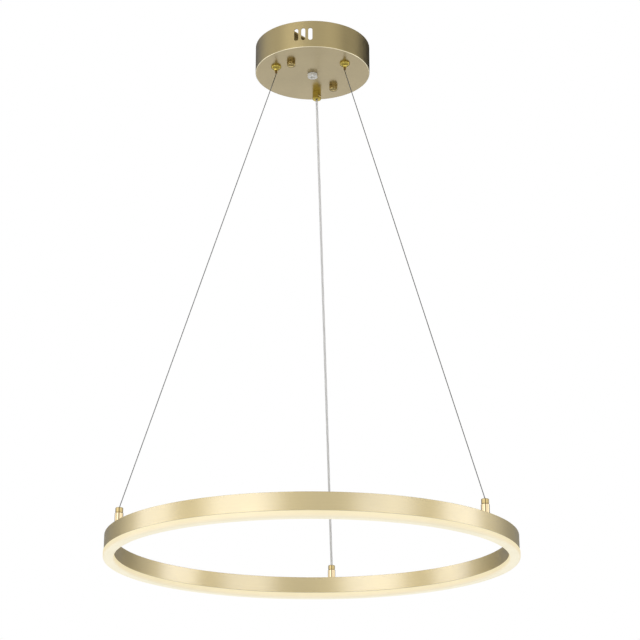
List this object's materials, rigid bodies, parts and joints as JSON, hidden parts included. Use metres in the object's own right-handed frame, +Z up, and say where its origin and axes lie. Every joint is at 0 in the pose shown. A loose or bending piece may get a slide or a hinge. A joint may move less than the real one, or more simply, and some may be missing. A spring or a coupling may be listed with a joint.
{
  "type": "led ring chandelier",
  "caption": "Hanging LED ring lamp: a thin gold ring with a light band below, hung level from a round canopy by slanting steel wires and a power cable.",
  "frame": {"origin": "centre of the canopy's open rim, in the ceiling plane", "axes": "+Z up into the ceiling, the lamp hangs towards -Z; +Y towards the post that takes the power cable, +X to the right"},
  "size_m": [0.5015, 0.5016, 0.696],
  "materials": {
    "plated_steel": "brushed, brass plated",
    "ring_aluminium": "brushed, anodised gold",
    "polished_brass": "polished",
    "zinc_steel": "zinc plated",
    "wire_steel": "stranded, bright",
    "crimp_alloy": "plain",
    "cable_jacket": "clear over tinned strands",
    "nylon": "moulded",
    "driver_case": "moulded",
    "foam": "soft foam",
    "lead_brown": "insulated",
    "lead_blue": "insulated",
    "lead_earth": "insulated",
    "lead_white": "insulated",
    "diffuser": "opal, lit from inside",
    "strip": "coated",
    "led": "phosphor"
  },
  "bodies": {
    "ceiling_unit": {"canopy_cup": "plated_steel", "mounting_crossbar": "zinc_steel", "canopy_studs": "zinc_steel", "stud_lock_nuts": "zinc_steel", "earth_screw": "zinc_steel", "gripper_bodies": "polished_brass", "gripper_left_spring": "wire_steel", "gripper_right_spring": "wire_steel", "stem_nuts": "zinc_steel", "wire_tail_left": "wire_steel", "wire_tail_right": "wire_steel", "wire_crimp_left": "crimp_alloy", "wire_crimp_right": "crimp_alloy", "cord_grip_body": "polished_brass", "power_cable_grip_end": "cable_jacket", "centre_plug": "nylon", "driver_pad": "foam", "driver_tray": "driver_case", "driver_lid": "driver_case", "terminal_block": "nylon", "terminal_screws": "polished_brass", "lead_connector": "nylon", "input_lead_live": "lead_brown", "input_lead_neutral": "lead_blue", "earth_lead": "lead_earth", "output_lead": "lead_white", "steel_wire_left": "wire_steel", "steel_wire_right": "wire_steel", "power_cable": "cable_jacket"},
    "cap_nut_front": {"cap_nut_front": "polished_brass"},
    "cap_nut_rear": {"cap_nut_rear": "polished_brass"},
    "grip_screw": {"cord_grip_screw": "polished_brass"},
    "nozzle_left": {"gripper_left_nozzle": "polished_brass"},
    "nozzle_right": {"gripper_right_nozzle": "polished_brass"},
    "ring": {"ring_channel": "ring_aluminium", "lens": "diffuser", "led_strip": "strip", "led_chips": "led", "post_bodies": "polished_brass", "post_caps": "polished_brass", "post_screws": "zinc_steel", "wire_stop_left": "crimp_alloy", "wire_stop_right": "crimp_alloy", "power_cable_ring_end": "cable_jacket"}
  },
  "joints": [
    {"name": "ring_height", "type": "slide", "parent": "ceiling_unit", "child": "ring", "axis": [0, 0, 1], "range_m": [0, 0.4], "deforming": ["steel_wire_left", "steel_wire_right", "power_cable"]},
    {"name": "nozzle_left_press", "type": "slide", "parent": "ceiling_unit", "child": "nozzle_left", "axis": [0, 0, 1], "range_m": [0, 0.002], "stiffness_N_per_m": 500, "springref_m": -0.004, "deforming": ["gripper_left_spring"]},
    {"name": "nozzle_right_press", "type": "slide", "parent": "ceiling_unit", "child": "nozzle_right", "axis": [0, 0, 1], "range_m": [0, 0.002], "stiffness_N_per_m": 500, "springref_m": -0.004, "deforming": ["gripper_right_spring"]},
    {"name": "grip_screw_turn", "type": "hinge", "parent": "ceiling_unit", "child": "grip_screw", "pos_m": [0, 0.0525, -0.046], "axis": [0.7071, -0.7071, 0], "continuous": true},
    {"name": "cap_nut_front_turn", "type": "hinge", "parent": "ceiling_unit", "child": "cap_nut_front", "pos_m": [-0.02421, -0.03728, -0.0415], "axis": [0, 0, 1], "continuous": true},
    {"name": "cap_nut_rear_turn", "type": "hinge", "parent": "ceiling_unit", "child": "cap_nut_rear", "pos_m": [0.02421, 0.03728, -0.0415], "axis": [0, 0, 1], "continuous": true}
  ]
}
